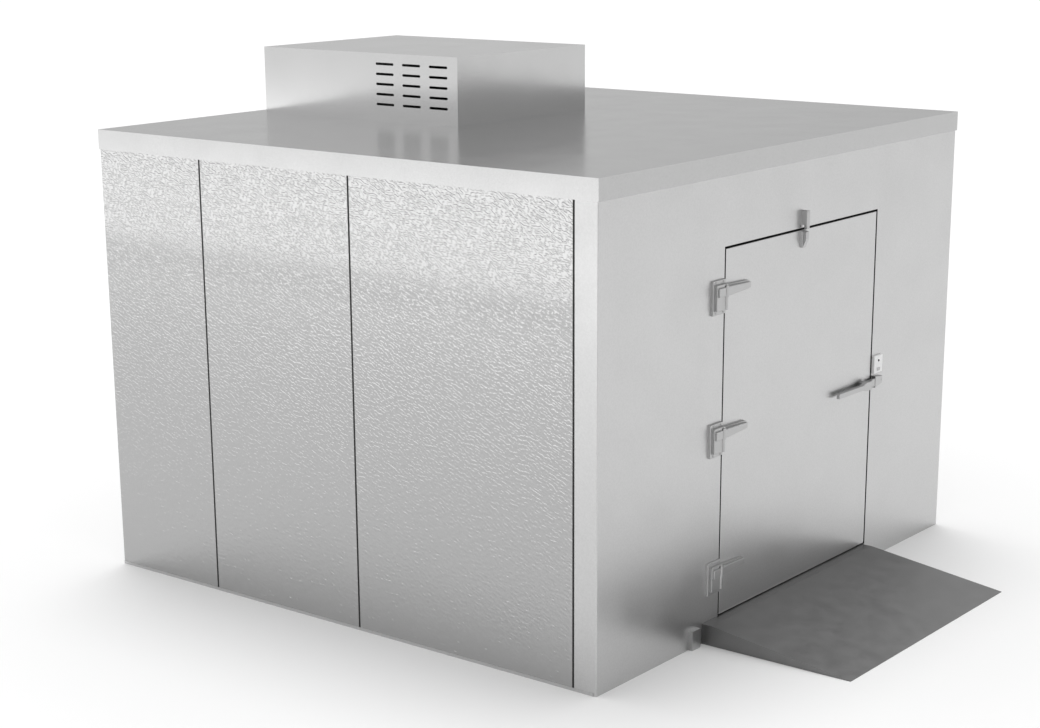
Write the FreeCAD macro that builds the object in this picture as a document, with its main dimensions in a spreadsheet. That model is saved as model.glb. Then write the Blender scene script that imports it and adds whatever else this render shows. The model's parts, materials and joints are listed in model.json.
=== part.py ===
"""Walk-in cold room, built of insulated panels, with its door, ramp and rooftop cooling unit.

Millimetres. The origin is the centre of the room's footprint at ground level, +Z is up,
and the door is in the front wall, which faces -Y.
"""
import FreeCAD, Part
import math
import os
import Sketcher

SIZES = [
    # the room
    ("room_width", 3520, "over the side walls, along X"),
    ("room_depth", 3380, "over the front and rear walls, along Y"),
    ("room_height", 2500, "ground to the top of the roof cover"),
    ("panel", 100, "thickness of the wall and ceiling panels"),
    ("floor_thick", 108, "floor panel, ground to walking surface"),
    ("joint_gap", 12, "open groove between neighbouring textured panels"),
    ("joint_depth", 14, "depth of that groove, in front of the tongue"),
    ("slip", 0.5, "gap between floor panels and between ceiling panels"),
    ("side_front_panel", 1388, "width of the side wall panel nearest the front"),
    ("side_middle_panel", 1052, "width of the middle panel of a side wall"),
    ("corner_post", 132, "depth of the smooth corner post along the side wall"),
    ("corner_round", 5, "rounded outer edge of the corner post"),
    ("cover_height", 108, "roof cover, top to lower edge of its skirt"),
    ("cover_over", 6, "sheet and overhang of the cover past the walls"),
    ("cover_sheet", 8, "top of the roof cover"),
    ("trim_high", 16, "base trim along the textured walls"),
    ("trim_proud", 3, "base trim, thickness"),
    ("trim_short", 16, "base trim stops this far from the front corner"),
    # the doorway and its door
    ("door_left", -694, "left side of the doorway, along X"),
    ("door_right", 858, "right side of the doorway, along X"),
    ("header_high", 349, "front wall above the doorway, up to the ceiling panels"),
    ("door_gap", 12, "gap between doorway and door leaf on every side"),
    ("leaf_thick", 75, "door leaf, which is flush with the wall"),
    ("leaf_edge", 2, "bevel round the door leaf's outer face"),
    ("stop_wide", 28, "door stop, how far it stands into the doorway"),
    ("stop_deep", 17, "door stop, along the depth of the wall"),
    ("seal_wide", 12, "door seal on the leaf's inner face"),
    ("seal_thick", 3, "door seal, thickness"),
    ("seal_inset", 2, "door seal, back from the leaf's edge"),
    # the hinges
    ("hinge_drop", 244, "top hinge, centre of its base plate below the doorway's head"),
    ("hinge_lift", 228, "bottom hinge, centre of its base plate above the floor"),
    ("pin_out", 26, "hinge pin's axis in front of the wall"),
    ("pin_left", 18, "hinge pin's axis beside the doorway's left side"),
    ("pin_bore", 10, "hinge pin's diameter"),
    ("pin_play", 0.3, "running clearance round a pin and at its lugs"),
    ("knuckle", 26, "hinge knuckle's diameter"),
    ("plate_thick", 13, "hinge base plate"),
    ("plate_wide", 115, "hinge base plate, along X"),
    ("plate_high", 174, "hinge base plate, upright"),
    ("plate_edge", 3, "gap between the base plate and the doorway"),
    ("block_wide", 100, "raised block on the base plate, along X"),
    ("block_high", 132, "raised block, upright"),
    ("block_thick", 15, "raised block in front of the base plate"),
    ("cap_edge", 6, "cap in line with the strap, in from the block's left side"),
    ("cap_thick", 11, "cap in front of the block"),
    ("lug_round", 18, "lugs round the hinge pin, diameter"),
    ("lug_gap", 5, "gap between the knuckle and the slot that it turns in"),
    ("strap_reach", 232, "strap's end, measured from the hinge pin"),
    ("strap_start", 3, "strap's seat on the leaf, in from the leaf's edge"),
    ("strap_high", 59, "strap at the knuckle, upright"),
    ("strap_end_high", 43, "strap at its end, upright"),
    ("strap_rise", 28, "strap's centre above the base plate's centre"),
    ("strap_back", 16, "strap's wide back layer, thickness"),
    ("strap_inset", 7, "raised middle of the strap, in from its outline"),
    ("strap_end_thick", 28, "strap at its end, in front of the leaf"),
    ("strap_round", 11, "rounded corners at the strap's end"),
    ("edge_soft", 2, "softened front edges of the cast fittings"),
    # the latch, the closer and the switch
    ("handle_height", 1063, "height of the latch above ground"),
    ("latch_wide", 104, "latch body on the leaf, along X"),
    ("latch_high", 32, "latch body, upright"),
    ("latch_thick", 16, "latch body in front of the leaf"),
    ("latch_edge", 6, "latch body, back from the leaf's latch edge"),
    ("tongue_long", 20, "latch tongue past the latch body, over the gap"),
    ("tongue_root", 22, "latch tongue, how far it reaches back over the latch body"),
    ("tongue_thick", 21, "latch tongue, thickness"),
    ("tongue_high", 44, "latch tongue, upright"),
    ("tongue_lift", 5, "latch tongue, clear of the leaf and wall"),
    ("strike_wide", 92, "strike on the frame, along X"),
    ("strike_high", 66, "strike at its left edge, upright"),
    ("strike_end_high", 42, "strike at its right edge, upright"),
    ("strike_thick", 26, "strike in front of the wall at its left edge"),
    ("strike_end_thick", 18, "strike in front of the wall at its right edge"),
    ("strike_edge", 8, "strike, back from the doorway"),
    ("lever_long", 348, "latch lever, pivot to end"),
    ("lever_thick", 20, "latch lever, across its flat"),
    ("lever_high", 28, "latch lever, upright"),
    ("lever_out", 20, "gap between the lever's end and the leaf"),
    ("lever_round", 26, "lever's barrel round its pivot, diameter"),
    ("lever_pin", 10, "latch lever's pivot pin"),
    ("lever_gap", 5, "gap between the lever's barrel and the latch body"),
    ("lever_web", 4, "lever's face in front of the latch body's lug"),
    ("lever_room", 1, "clearance between the lug and the inside of the lever's hub"),
    ("hub_high", 50, "lever's hub, upright"),
    ("hub_long", 50, "lever's hub, pivot to where it starts to narrow"),
    ("hub_slope", 43, "length over which the hub narrows to the lever"),
    ("latch_lug", 20, "latch body's lug inside the lever's hub, upright"),
    ("release_round", 70, "inside release knob, diameter"),
    ("release_long", 55, "inside release knob, length"),
    ("release_soft", 7, "rounded end of the inside release knob"),
    ("closer_off", 27, "door closer's centre, from the doorway's middle towards the hinges"),
    ("hook_wide", 30, "closer hook and the closer's nose, along X"),
    ("hook_high", 74, "closer hook on the frame, upright"),
    ("hook_thick", 33, "closer hook in front of the wall"),
    ("hook_lift", 16, "closer hook's foot above the doorway's head"),
    ("hook_reach", 5, "hook's lip below the doorway's head"),
    ("hook_lip", 17, "hook's lip, thickness"),
    ("closer_wide", 54, "closer's plate on the leaf at its top, along X"),
    ("closer_foot_wide", 42, "closer's plate at its foot, along X"),
    ("closer_high", 90, "closer's plate, upright"),
    ("closer_plate", 12, "closer's plate, thickness"),
    ("closer_thick", 30, "closer's nose in front of the leaf"),
    ("closer_drop", 1, "closer's plate, down from the bevel at the leaf's top"),
    ("closer_round", 12, "rounded lower corners of the closer's plate"),
    ("nose_edge", 4, "closer's nose, in from the plate's top and foot"),
    ("switch_edge", 7, "light switch, from the doorway's side"),
    ("switch_wide", 94, "light switch, along X"),
    ("switch_high", 100, "light switch, upright"),
    ("switch_thick", 15, "light switch in front of the wall"),
    ("switch_soft", 2, "bevel round the light switch's face"),
    ("switch_rise", 96, "light switch's centre above the latch"),
    # the cooling unit on the roof
    ("unit_left", -551, "left side of the unit, along X"),
    ("unit_wide", 1168, "unit, along X"),
    ("unit_back", 78, "rear of the unit, in from the rear wall's face"),
    ("unit_long", 1471, "unit, along Y"),
    ("unit_high", 377, "unit above the roof"),
    ("unit_sheet", 6, "unit's casing sheet"),
    ("slot_long", 132, "louvre slot, along Y"),
    ("slot_high", 14, "louvre slot, upright"),
    ("slot_first", 137, "centre of the first slot from the unit's front"),
    ("slot_step", 196, "spacing of the slots along Y"),
    ("slot_low", 94, "centre of the lowest slot above the roof"),
    ("slot_rise", 56, "spacing of the slots upright"),
    # the ramp
    ("ramp_past", 148, "ramp past the doorway's hinge side"),
    ("ramp_short", 24, "ramp short of the doorway's latch side"),
    ("ramp_long", 872, "ramp, wall to toe"),
    ("ramp_landing", 60, "level part of the ramp beside the wall"),
    ("ramp_toe", 3, "ramp's toe, thickness"),
    ("ramp_seat", 0.5, "gap between the ramp and the wall"),
    ("bracket_away", 46, "gap between the foot bracket and the ramp"),
    ("bracket_wide", 74, "foot bracket, along X"),
    ("bracket_high", 104, "foot bracket, upright"),
    ("bracket_deep", 24, "foot bracket in front of the wall"),
]

TINY = 0.01
SLOT_COLUMNS = 3
SLOT_ROWS = 5

doc = FreeCAD.newDocument("ColdRoom")
sheet = doc.addObject("Spreadsheet::Sheet", "Sizes")
for row, (alias, value, note) in enumerate(SIZES, start=1):
    sheet.set(f"A{row}", alias)
    sheet.set(f"B{row}", str(value))
    sheet.set(f"C{row}", note)
    sheet.setAlias(f"B{row}", alias)
doc.recompute()

NAMES = {alias for alias, _, _ in SIZES}
parts = []


def bind(text):
    """Turn size names in a formula into cells of the sheet, and give it its unit."""
    words = []
    word = ""
    for letter in str(text) + " ":
        if letter.isalnum() or letter in "_.":
            word += letter
            continue
        words.append(f"Sizes.{word}" if word in NAMES else word)
        words.append(letter)
        word = ""
    return "(" + "".join(words).strip() + ") * 1 mm"


def size_of(formula):
    """What a formula of size names comes to."""
    return sheet.evalExpression(bind(formula)).Value


def keep(thing, label):
    """Name a finished sub-part and put it on the list to be written out."""
    thing.Label = label
    parts.append(thing)
    return thing


def slab(name, x, y, z):
    """A box between two formulas on each axis."""
    box = doc.addObject("Part::Box", name)
    for size, place, (low, high) in (("Length", "x", x), ("Width", "y", y), ("Height", "z", z)):
        box.setExpression(size, bind(f"({high}) - ({low})"))
        box.setExpression(f"Placement.Base.{place}", bind(low))
    return box


def group(name, *solids):
    """Like pieces that don't touch, kept as separate solids of one sub-part."""
    made = doc.addObject("Part::Compound", name)
    made.Links = list(solids)
    return made


def new_body(name):
    return doc.addObject("PartDesign::Body", name)


def sketch_on(body, plane, name, offset="0"):
    """A sketch on one of the body's own origin planes, moved along the plane's normal."""
    sketch = body.newObject("Sketcher::SketchObject", name)
    base = [feature for feature in body.Origin.OriginFeatures if feature.Role == plane][0]
    sketch.AttachmentSupport = [(base, "")]
    sketch.MapMode = "FlatFace"
    if offset != "0":
        sketch.setExpression("AttachmentOffset.Base.z", bind(offset))
    return sketch


def fix_point(sketch, line, end, across, up):
    """Tie one end of a line to formulas measured from the sketch's origin."""
    for kind, formula, axis in (("DistanceX", across, -2), ("DistanceY", up, -1)):
        if formula == "0":
            sketch.addConstraint(Sketcher.Constraint("PointOnObject", line, end, axis))
            continue
        value = size_of(formula)
        index = sketch.addConstraint(Sketcher.Constraint(kind, -1, 1, line, end, value))
        sketch.setExpression(f"Constraints[{index}]", bind(formula))


def outline(sketch, points):
    """A closed outline of straight lines, each corner bound to two formulas."""
    places = []
    for across, up in points:
        places.append(FreeCAD.Vector(size_of(across), size_of(up), 0))
    first = sketch.GeometryCount
    count = len(points)
    for i in range(count):
        sketch.addGeometry(Part.LineSegment(places[i], places[(i + 1) % count]), False)
    for i in range(count):
        here, after = first + i, first + (i + 1) % count
        sketch.addConstraint(Sketcher.Constraint("Coincident", here, 2, after, 1))
    for i, (across, up) in enumerate(points):
        fix_point(sketch, first + i, 1, across, up)


def circle(sketch, across, up, diameter):
    """A circle whose centre and diameter are bound to formulas."""
    centre = FreeCAD.Vector(size_of(across), size_of(up), 0)
    size = size_of(diameter)
    index = sketch.addGeometry(Part.Circle(centre, FreeCAD.Vector(0, 0, 1), size / 2), False)
    fix_point(sketch, index, 3, across, up)
    rim = sketch.addConstraint(Sketcher.Constraint("Diameter", index, size))
    sketch.setExpression(f"Constraints[{rim}]", bind(diameter))


def pad(body, sketch, length, name, both=False, back=False):
    made = body.newObject("PartDesign::Pad", name)
    made.Profile = sketch
    made.setExpression("Length", bind(length))
    made.Midplane = both
    made.Reversed = back
    doc.recompute()
    return made


def pocket(body, sketch, length, name, both=False, back=False):
    """Cut a sketch out of the body, and see that it does take material away."""
    before = body.Shape.Volume
    made = body.newObject("PartDesign::Pocket", name)
    made.Profile = sketch
    made.setExpression("Length", bind(length))
    made.Midplane = both
    made.Reversed = back
    doc.recompute()
    if not body.Shape.Volume < before:
        raise RuntimeError(f"{name} cuts nothing")
    return made


def edges_in(shape, *tests):
    """Names of the edges whose every corner passes one of the tests."""
    found = []
    for i, edge in enumerate(shape.Edges, start=1):
        if any(all(test(corner.Point) for corner in edge.Vertexes) for test in tests):
            found.append(f"Edge{i}")
    return found


def front_rim(shape, skip=None):
    """Names of the edges round the face that stands furthest out towards -Y."""
    faces = [face for face in shape.Faces if face.normalAt(0, 0).y < -0.9]
    front = min(faces, key=lambda face: face.CenterOfMass.y)
    found = []
    for i, edge in enumerate(shape.Edges, start=1):
        if not any(edge.isSame(other) for other in front.Edges):
            continue
        if skip and all(skip(corner.Point) for corner in edge.Vertexes):
            continue
        found.append(f"Edge{i}")
    return found


def chamfer(body, base, edges, size, name):
    made = body.newObject("PartDesign::Chamfer", name)
    made.Base = (base, edges)
    made.setExpression("Size", bind(size))
    doc.recompute()
    return made


def fillet(body, base, edges, radius, name):
    made = body.newObject("PartDesign::Fillet", name)
    made.Base = (base, edges)
    made.setExpression("Radius", bind(radius))
    doc.recompute()
    return made


LEFT = "-room_width / 2"
RIGHT = "room_width / 2"
FRONT = "-room_depth / 2"
REAR = "room_depth / 2"
WALL_TOP = "(room_height - cover_sheet - panel)"
DOOR_HEAD = f"({WALL_TOP} - header_high)"
LEAF_LEFT = "(door_left + door_gap)"
LEAF_RIGHT = "(door_right - door_gap)"
LEAF_TOP = f"({DOOR_HEAD} - door_gap)"
LEAF_FOOT = "(floor_thick + door_gap)"
HINGE_TOP = f"({DOOR_HEAD} - hinge_drop)"
HINGE_BOTTOM = "(floor_thick + hinge_lift)"
HINGES = {"top": HINGE_TOP, "middle": f"({HINGE_TOP} + {HINGE_BOTTOM}) / 2", "bottom": HINGE_BOTTOM}
UNIT_REAR = f"({REAR} - unit_back)"
UNIT_FRONT = f"({UNIT_REAR} - unit_long)"
CLOSER = "((door_left + door_right) / 2 - closer_off)"
SWITCH_LEFT = "(door_right + switch_edge)"
RAMP_LEFT = "(door_left - ramp_past)"
RAMP_RIGHT = "(door_right - ramp_short)"


def rectangle(sketch, low, high):
    """A rectangle between two corners, each a pair of formulas."""
    outline(sketch, [low, (high[0], low[1]), high, (low[0], high[1])])


def floor():
    """Insulated floor panels between the walls, and the threshold in the doorway."""
    third = "((room_width - 2 * panel) / 3)"
    panels = []
    for i in range(3):
        x0 = f"{LEFT} + panel + {i} * {third}" + (" + slip" if i else "")
        x1 = f"{LEFT} + panel + {i + 1} * {third}"
        panels.append(slab(f"FloorPanel{i + 1}", (x0, x1), (f"{FRONT} + panel", f"{REAR} - panel"),
                           ("0", "floor_thick")))
    keep(group("FloorPanels", *panels), "floor_panels")
    keep(slab("Threshold", ("door_left", "door_right"), (FRONT, f"{FRONT} + panel"), ("0", "floor_thick")),
         "threshold")


def tongued_panel(name, label, outer, inner, back, low, high, along="y"):
    """A wall panel whose tongue closes the groove towards its low end, behind the outer skin."""
    body = new_body(name)
    plan = sketch_on(body, "XY_Plane", name + "Plan")
    points = [(outer, low), (outer, high), (inner, high), (inner, f"{low} - joint_gap"),
              (back, f"{low} - joint_gap"), (back, low)]
    if along == "x":
        points = [(up, across) for across, up in points]
    outline(plan, points)
    pad(body, plan, WALL_TOP, name + "Pad")
    keep(body, label)


def side_walls():
    """Three textured panels a side, from the corner post to the rear of the room."""
    joint_three = f"({FRONT} + corner_post + joint_gap)"
    joint_two = f"({joint_three} + side_front_panel + joint_gap)"
    joint_one = f"({joint_two} + side_middle_panel + joint_gap)"
    spans = (("front", joint_three, f"{joint_two} - joint_gap"),
             ("middle", joint_two, f"{joint_one} - joint_gap"),
             ("rear", joint_one, REAR))
    for side, outer, inner, back in (("left", LEFT, f"{LEFT} + panel", f"{LEFT} + joint_depth"),
                                     ("right", RIGHT, f"{RIGHT} - panel", f"{RIGHT} - joint_depth")):
        for place, low, high in spans:
            tongued_panel(f"Wall{side.title()}{place.title()}", f"{side}_wall_{place}_panel",
                          outer, inner, back, low, high)


def rear_wall():
    """Three textured panels between the side walls, the first with no groove beside it."""
    wide = "((room_width - 2 * panel - 2 * joint_gap) / 3)"
    keep(slab("WallRear1", (f"{LEFT} + panel", f"{LEFT} + panel + {wide}"), (f"{REAR} - panel", REAR),
              ("0", WALL_TOP)), "rear_wall_panel_1")
    for i in (1, 2):
        low = f"({LEFT} + panel + {i} * ({wide} + joint_gap))"
        tongued_panel(f"WallRear{i + 1}", f"rear_wall_panel_{i + 1}", REAR, f"{REAR} - panel",
                      f"{REAR} - joint_depth", low, f"{low} + {wide}", along="x")


def front_wall():
    """Smooth steel wall: corner posts, a panel each side of the doorway and one above it."""
    for side, low, high, outer in (("left", LEFT, f"{LEFT} + panel", LEFT),
                                   ("right", f"{RIGHT} - panel", RIGHT, RIGHT)):
        name = f"CornerPost{side.title()}"
        body = new_body(name)
        plan = sketch_on(body, "XY_Plane", name + "Plan")
        rectangle(plan, (low, FRONT), (high, f"{FRONT} + corner_post"))
        post = pad(body, plan, WALL_TOP, name + "Pad")
        edge_x, edge_y = size_of(outer), size_of(FRONT)
        edge = edges_in(post.Shape, lambda p: abs(p.x - edge_x) < TINY and abs(p.y - edge_y) < TINY)
        fillet(body, post, edge, "corner_round", name + "Round")
        keep(body, f"corner_post_{side}")
    depth = (FRONT, f"{FRONT} + panel")
    keep(slab("FrontLeft", (f"{LEFT} + panel", "door_left"), depth, ("0", WALL_TOP)), "front_wall_left")
    keep(slab("FrontRight", ("door_right", f"{RIGHT} - panel"), depth, ("0", WALL_TOP)), "front_wall_right")
    keep(slab("FrontHeader", ("door_left", "door_right"), depth, (DOOR_HEAD, WALL_TOP)), "front_wall_header")


def base_trim():
    """Thin trim at the foot of the textured walls, which stops short of the front corners."""
    along = (f"{FRONT} + trim_short", REAR)
    high = ("0", "trim_high")
    left = slab("TrimLeft", (f"{LEFT} - trim_proud", LEFT), along, high)
    right = slab("TrimRight", (RIGHT, f"{RIGHT} + trim_proud"), along, high)
    rear = slab("TrimRear", (f"{LEFT} + slip", f"{RIGHT} - slip"), (REAR, f"{REAR} + trim_proud"), high)
    keep(group("BaseTrim", left, right, rear), "base_trim")


def roof():
    """Ceiling panels across the walls, and the folded cover with its skirt over them."""
    third = "(room_width / 3)"
    panels = []
    for i in range(3):
        x0 = f"{LEFT} + {i} * {third}" + (" + slip" if i else "")
        panels.append(slab(f"CeilingPanel{i + 1}", (x0, f"{LEFT} + {i + 1} * {third}"), (FRONT, REAR),
                           (WALL_TOP, "room_height - cover_sheet")))
    keep(group("CeilingPanels", *panels), "ceiling_panels")
    body = new_body("RoofCover")
    top = sketch_on(body, "XY_Plane", "CoverOutline", "room_height")
    rectangle(top, (f"{LEFT} - cover_over", f"{FRONT} - cover_over"),
              (f"{RIGHT} + cover_over", f"{REAR} + cover_over"))
    pad(body, top, "cover_height", "CoverPad", back=True)
    inside = sketch_on(body, "XY_Plane", "CoverInside", "room_height - cover_height")
    rectangle(inside, (LEFT, FRONT), (RIGHT, REAR))
    pocket(body, inside, "cover_height - cover_sheet", "CoverPocket", back=True)
    keep(body, "roof_cover")


def door_stops():
    """Stops at the back of the doorway, which the leaf's seal closes on."""
    deep = (f"{FRONT} + panel - stop_deep", f"{FRONT} + panel")
    keep(slab("StopLeft", ("door_left", "door_left + stop_wide"), deep, ("floor_thick", DOOR_HEAD)),
         "door_stop_left")
    keep(slab("StopRight", ("door_right - stop_wide", "door_right"), deep, ("floor_thick", DOOR_HEAD)),
         "door_stop_right")
    keep(slab("StopHead", ("door_left + stop_wide", "door_right - stop_wide"), deep,
              (f"{DOOR_HEAD} - stop_wide", DOOR_HEAD)), "door_stop_head")


def door_leaf():
    """The insulated leaf, flush with the wall, with its skin folded over bevelled edges."""
    body = new_body("DoorLeaf")
    face = sketch_on(body, "XZ_Plane", "LeafOutline", f"-({FRONT})")
    rectangle(face, (LEAF_LEFT, LEAF_FOOT), (LEAF_RIGHT, LEAF_TOP))
    leaf = pad(body, face, "leaf_thick", "LeafPad", back=True)
    chamfer(body, leaf, front_rim(leaf.Shape), "leaf_edge", "LeafBevel")
    keep(body, "door_leaf")
    seal = new_body("DoorSeal")
    ring = sketch_on(seal, "XZ_Plane", "SealOutline", f"-({FRONT}) - leaf_thick")
    for inset in ("seal_inset", "(seal_inset + seal_wide)"):
        rectangle(ring, (f"{LEAF_LEFT} + {inset}", f"{LEAF_FOOT} + {inset}"),
                  (f"{LEAF_RIGHT} - {inset}", f"{LEAF_TOP} - {inset}"))
    pad(seal, ring, "seal_thick", "SealPad", back=True)
    keep(seal, "door_seal")


def stand_at(body, x, y, z):
    """Place a body whose own origin is a pin's axis."""
    for axis, formula in (("x", x), ("y", y), ("z", z)):
        body.setExpression(f"Placement.Base.{axis}", bind(formula))


def raised(body, name, base, low, high, thick, soft="edge_soft"):
    """A block with a softened rim on a face in front of the wall, between two corners of that face."""
    face = sketch_on(body, "XZ_Plane", name, base)
    rectangle(face, low, high)
    made = pad(body, face, thick, name + "Pad")
    return chamfer(body, made, front_rim(made.Shape), soft, name + "Soft")


def hinge(place):
    """Slotted base on the frame with its lugs, pin and cap, and the strap on the leaf.

    Both are drawn round the pin's axis: the wall's face is at Y = pin_out.
    """
    name = f"Hinge{place.title()}"
    where = ("door_left - pin_left", f"{FRONT} - pin_out", f"{HINGES[place]} + strap_rise")
    right = "(pin_left - plate_edge)"
    foot, top = "(-block_high / 2 - strap_rise)", "(block_high / 2 - strap_rise)"
    room = "(strap_high / 2 + pin_play)"
    middle = "(strap_high / 2 - strap_inset)"
    turn = "(knuckle / 2 + lug_gap)"
    base = new_body(name + "Base")
    raised(base, name + "Plate", "-pin_out", (f"{right} - plate_wide", "-plate_high / 2 - strap_rise"),
           (right, "plate_high / 2 - strap_rise"), "plate_thick")
    raised(base, name + "Block", "plate_thick - pin_out", (f"{right} - block_wide", foot), (right, top),
           "block_thick")
    raised(base, name + "Cap", "plate_thick + block_thick - pin_out",
           (f"{right} - block_wide + cap_edge", f"-{middle}"), (f"-{turn} - lug_gap", middle), "cap_thick")
    nose = sketch_on(base, "XY_Plane", name + "Nose", foot)
    circle(nose, "0", "0", "lug_round")
    pad(base, nose, "block_high", name + "NosePad")
    slot = sketch_on(base, "XZ_Plane", name + "Slot", "-pin_out")
    rectangle(slot, (f"-{turn}", f"-{room}"), ("pin_left", room))
    pocket(base, slot, "pin_out + lug_round", name + "SlotCut", back=True)
    pin = sketch_on(base, "XY_Plane", name + "Pin", foot)
    circle(pin, "0", "0", "pin_bore - 2 * pin_play")
    pad(base, pin, "block_high", name + "PinPad")
    stand_at(base, *where)
    keep(base, f"hinge_base_{place}")

    strap = new_body(name + "Strap")
    arm = sketch_on(strap, "XY_Plane", name + "Arm")
    seat = "pin_left + door_gap + strap_start"
    outline(arm, [("0", "-knuckle / 2"), ("strap_reach", "pin_out - strap_end_thick"),
                  ("strap_reach", "pin_out"), (seat, "pin_out"), (seat, "knuckle / 2"), ("0", "knuckle / 2")])
    pad(strap, arm, "strap_high", name + "ArmPad", both=True)
    taper = sketch_on(strap, "XZ_Plane", name + "Taper")
    for sign in ("", "-"):
        outline(taper, [(seat, f"{sign}strap_high / 2"), ("strap_reach + door_gap", f"{sign}strap_high / 2"),
                        ("strap_reach + door_gap", f"{sign}strap_end_high / 2")])
    made = pocket(strap, taper, "2 * pin_out + 2 * knuckle", name + "TaperCut", both=True)
    reach = size_of("strap_reach")
    corners = edges_in(made.Shape, lambda p: abs(p.x - reach) < TINY and p.z > 0,
                       lambda p: abs(p.x - reach) < TINY and p.z < 0)
    fillet(strap, made, corners, "strap_round", name + "EndRound")
    rim = sketch_on(strap, "XZ_Plane", name + "Rim", "strap_back - pin_out")
    rectangle(rim, ("-knuckle", "-strap_high"), ("strap_reach + knuckle", "strap_high"))
    end_middle = "(strap_end_high / 2 - strap_inset)"
    outline(rim, [("-knuckle / 2", f"-{middle}"), (seat, f"-{middle}"),
                  ("strap_reach - strap_inset", f"-{end_middle}"), ("strap_reach - strap_inset", end_middle),
                  (seat, middle), ("-knuckle / 2", middle)])
    made = pocket(strap, rim, "2 * knuckle", name + "RimCut", back=True)
    inner = size_of("strap_reach - strap_inset")
    corners = edges_in(made.Shape, lambda p: abs(p.x - inner) < TINY and p.z > 0,
                       lambda p: abs(p.x - inner) < TINY and p.z < 0)
    made = fillet(strap, made, corners, "strap_round - strap_inset", name + "MiddleRound")
    chamfer(strap, made, front_rim(made.Shape, skip=lambda p: p.x < TINY), "edge_soft", name + "StrapSoft")
    knuckle = sketch_on(strap, "XY_Plane", name + "Knuckle")
    circle(knuckle, "0", "0", "knuckle")
    pad(strap, knuckle, "strap_high", name + "KnucklePad", both=True)
    bore = sketch_on(strap, "XY_Plane", name + "Bore")
    circle(bore, "0", "0", "pin_bore")
    pocket(strap, bore, "2 * strap_high", name + "BoreCut", both=True)
    stand_at(strap, *where)
    keep(strap, f"hinge_strap_{place}")


LATCH_OUT = "(latch_thick + lever_gap + lever_round / 2)"
LATCH_PIN = (f"{LEAF_RIGHT} - latch_edge - latch_wide / 2", f"{FRONT} - {LATCH_OUT}", "handle_height")


def latch_body():
    """Latch body on the leaf, with its tongue over the gap and the lug and pin that the lever turns on.

    It is drawn round the pin's axis: the leaf's face is at Y = LATCH_OUT.
    """
    body = new_body("LatchBody")
    raised(body, "LatchBlock", f"-{LATCH_OUT}", ("-latch_wide / 2", "-latch_high / 2"),
           ("latch_wide / 2", "latch_high / 2"), "latch_thick")
    tongue = sketch_on(body, "XZ_Plane", "LatchTongue", f"tongue_lift - {LATCH_OUT}")
    rectangle(tongue, ("latch_wide / 2 - tongue_root", "-tongue_high / 2"),
              ("latch_wide / 2 + tongue_long", "tongue_high / 2"))
    made = pad(body, tongue, "tongue_thick", "LatchTonguePad")
    chamfer(body, made, front_rim(made.Shape), "edge_soft", "LatchTongueSoft")
    lug_wide = "(lever_round / 2 - lever_web - lever_room)"
    root = sketch_on(body, "XY_Plane", "LatchLugRoot")
    rectangle(root, (f"-{lug_wide}", "0"), (lug_wide, f"{LATCH_OUT} - latch_thick"))
    pad(body, root, "latch_lug", "LatchLugRootPad", both=True)
    lug = sketch_on(body, "XY_Plane", "LatchLug")
    circle(lug, "0", "0", f"2 * {lug_wide}")
    pad(body, lug, "latch_lug", "LatchLugPad", both=True)
    pin = sketch_on(body, "XY_Plane", "LatchPin")
    circle(pin, "0", "0", "lever_pin - 2 * pin_play")
    pad(body, pin, "hub_high", "LatchPinPad", both=True)
    stand_at(body, *LATCH_PIN)
    keep(body, "latch_body")


def latch_lever():
    """Pull lever, whose forked hub turns on the latch body's upright pin."""
    lever = new_body("LatchLever")
    arm = sketch_on(lever, "XY_Plane", "LeverArm")
    end_back = f"({LATCH_OUT} - lever_out)"
    outline(arm, [("0", "-lever_round / 2"), ("-lever_long", f"{end_back} - lever_thick"),
                  ("-lever_long", end_back), ("0", "lever_round / 2")])
    made = pad(lever, arm, "hub_high", "LeverArmPad", both=True)
    narrow = sketch_on(lever, "XZ_Plane", "LeverNarrow")
    past = "-lever_long - lever_pin"
    for sign in ("", "-"):
        outline(narrow, [("-hub_long", f"{sign}hub_high / 2"), (past, f"{sign}hub_high / 2"),
                         (past, f"{sign}lever_high / 2"), ("-hub_long - hub_slope", f"{sign}lever_high / 2")])
    made = pocket(lever, narrow, "4 * lever_round", "LeverNarrowCut", both=True)
    chamfer(lever, made, front_rim(made.Shape, skip=lambda p: p.x > -TINY), "edge_soft", "LeverSoft")
    barrel = sketch_on(lever, "XY_Plane", "LeverBarrel")
    circle(barrel, "0", "0", "lever_round")
    pad(lever, barrel, "hub_high", "LeverBarrelPad", both=True)
    fork = sketch_on(lever, "XY_Plane", "LeverFork")
    rectangle(fork, ("-lever_round / 2 - pin_play", "lever_web - lever_round / 2"),
              ("lever_round", "lever_round"))
    pocket(lever, fork, "latch_lug + 2 * pin_play", "LeverForkCut", both=True)
    bore = sketch_on(lever, "XY_Plane", "LeverBore")
    circle(bore, "0", "0", "lever_pin")
    pocket(lever, bore, "2 * hub_high", "LeverBoreCut", both=True)
    stand_at(lever, *LATCH_PIN)
    keep(lever, "latch_lever")


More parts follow.
